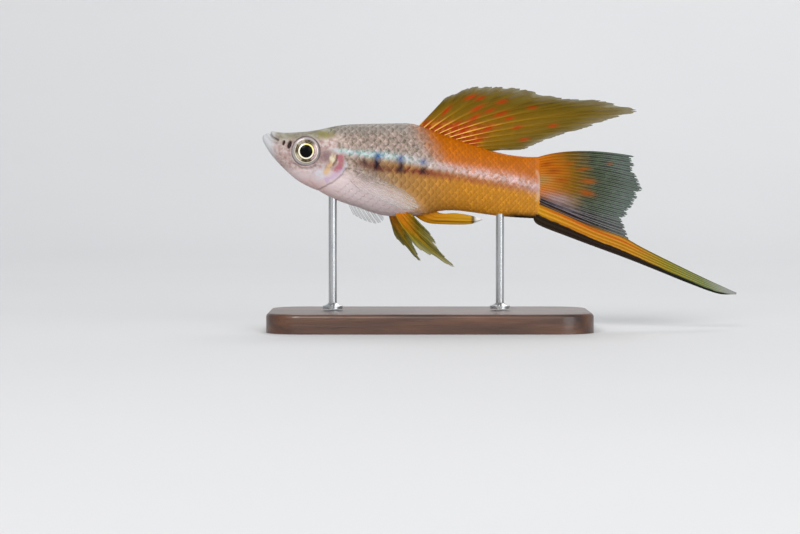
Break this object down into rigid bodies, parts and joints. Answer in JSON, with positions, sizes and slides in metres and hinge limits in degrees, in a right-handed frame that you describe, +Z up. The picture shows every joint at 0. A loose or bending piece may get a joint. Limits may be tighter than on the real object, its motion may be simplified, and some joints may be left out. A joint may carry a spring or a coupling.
{
  "type": "male swordtail fish on a stand",
  "caption": "Small aquarium fish with a tall dorsal fin and a long sword at its tail, held level on a two-pin display stand.",
  "frame": {"origin": "centre of the underside of the stand's board", "axes": "+Z up, the fish looks towards -X, its left side towards -Y"},
  "size_m": [0.0856, 0.03, 0.0438],
  "materials": {
    "skin": "satin",
    "pale_skin": "satin",
    "eye": "gloss",
    "orange_fin": "satin",
    "clear_fin": "satin",
    "sword": "satin",
    "wood": "satin",
    "steel": "satin"
  },
  "bodies": {
    "root": {"head": "pale_skin", "torso": "skin", "tail_base": "skin", "eye_left": "eye", "eye_right": "eye", "gill_cover_left": "pale_skin", "gill_cover_right": "pale_skin", "pectoral_fin_left": "clear_fin", "pectoral_fin_right": "clear_fin", "pelvic_fin_left": "orange_fin", "pelvic_fin_right": "orange_fin", "dorsal_fin": "orange_fin", "tail_fan": "clear_fin", "sword": "sword", "gonopodium": "sword", "stand_base": "wood", "stand_pin_front": "steel", "stand_pin_rear": "steel"}
  },
  "joints": []
}
